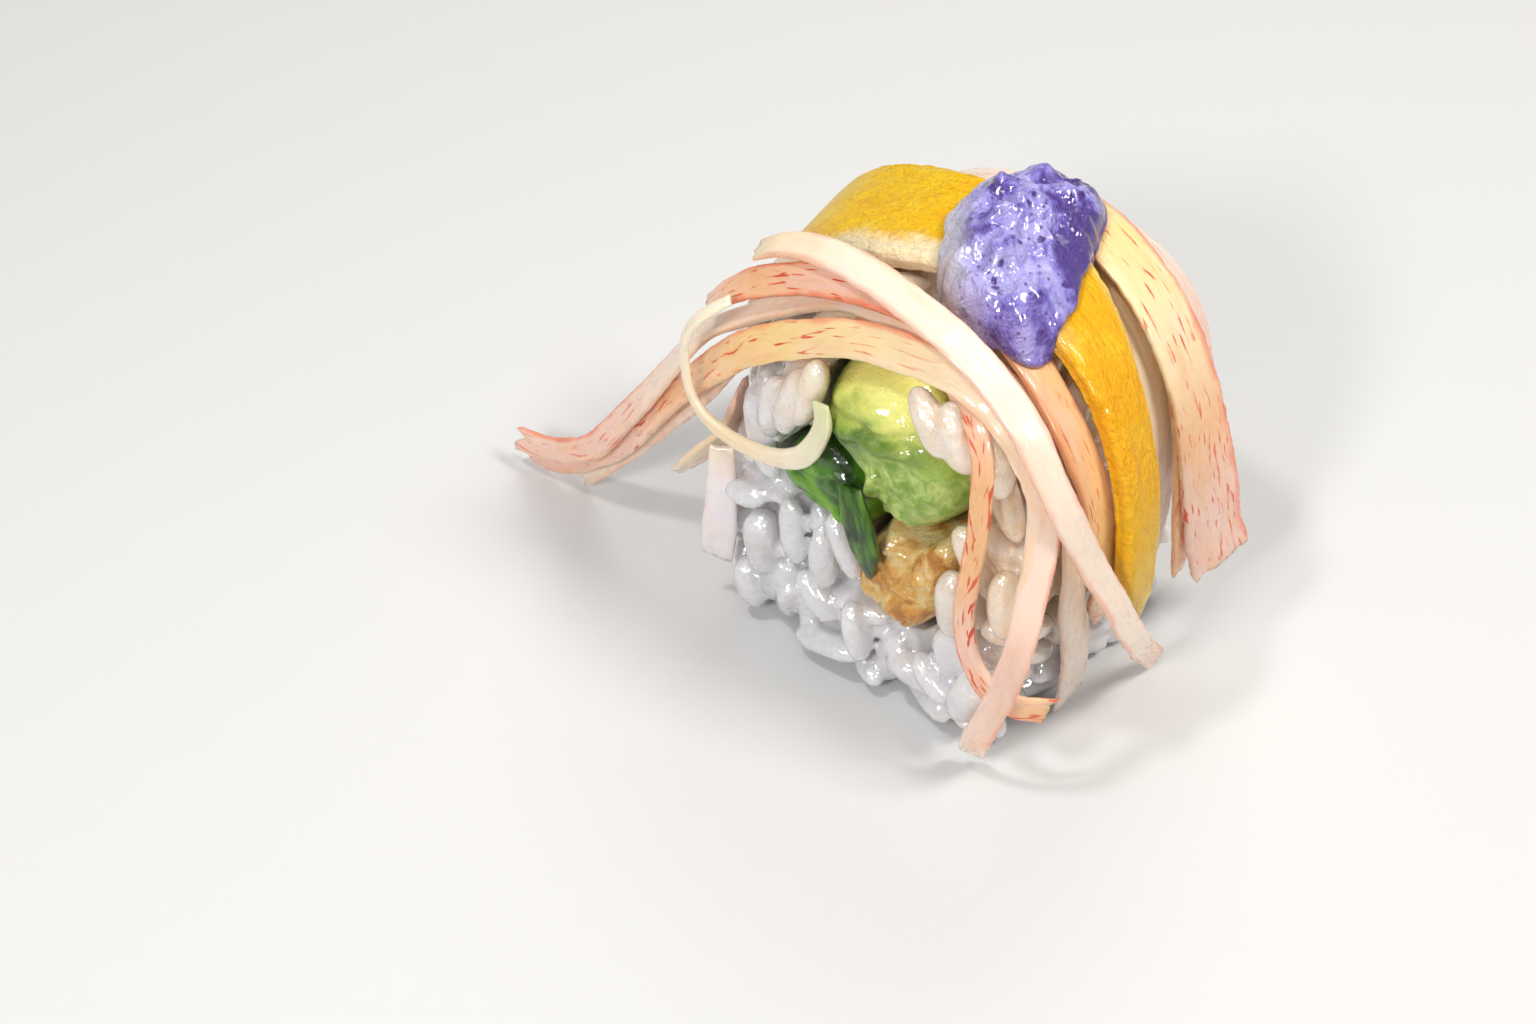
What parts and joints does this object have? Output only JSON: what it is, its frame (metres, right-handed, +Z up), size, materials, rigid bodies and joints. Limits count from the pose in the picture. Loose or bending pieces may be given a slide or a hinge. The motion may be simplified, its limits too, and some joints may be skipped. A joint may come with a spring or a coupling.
{
  "type": "sushi roll slice",
  "caption": "Rice-outside sushi roll slice with avocado and fried fish filling, draped with mango and shredded crab stick and topped with a lavender sauce dollop.",
  "frame": {"origin": "centre of the rice's flat underside", "axes": "+X to the right across the cut face as seen from in front of it, -Y out of the cut face, +Z up"},
  "size_m": [0.0702, 0.0357, 0.0519],
  "materials": {
    "rice": "moist, translucent",
    "avocado": "soft, moist",
    "avocado_dark": "moist",
    "leaf": "moist",
    "fish": "flaky, crisp",
    "mango": "wet",
    "sauce": "wet, creamy",
    "crab": "moist, fibrous",
    "crab_pale": "moist, fibrous"
  },
  "bodies": {
    "root": {"rice": "rice", "avocado": "avocado", "avocado_slice": "avocado_dark", "leaf": "leaf", "fish": "fish", "mango": "mango", "sauce": "sauce", "band_back": "crab", "band_front": "crab", "band_hanging": "crab", "band_left": "crab", "band_left_tip": "crab", "band_middle": "crab", "band_narrow": "crab", "band_peach": "crab", "band_veined": "crab", "band_wide": "crab", "band_drop": "crab_pale", "band_grey": "crab_pale", "band_left_drop": "crab_pale", "band_long": "crab_pale", "band_under_left": "crab_pale", "curl": "crab_pale"}
  },
  "joints": []
}
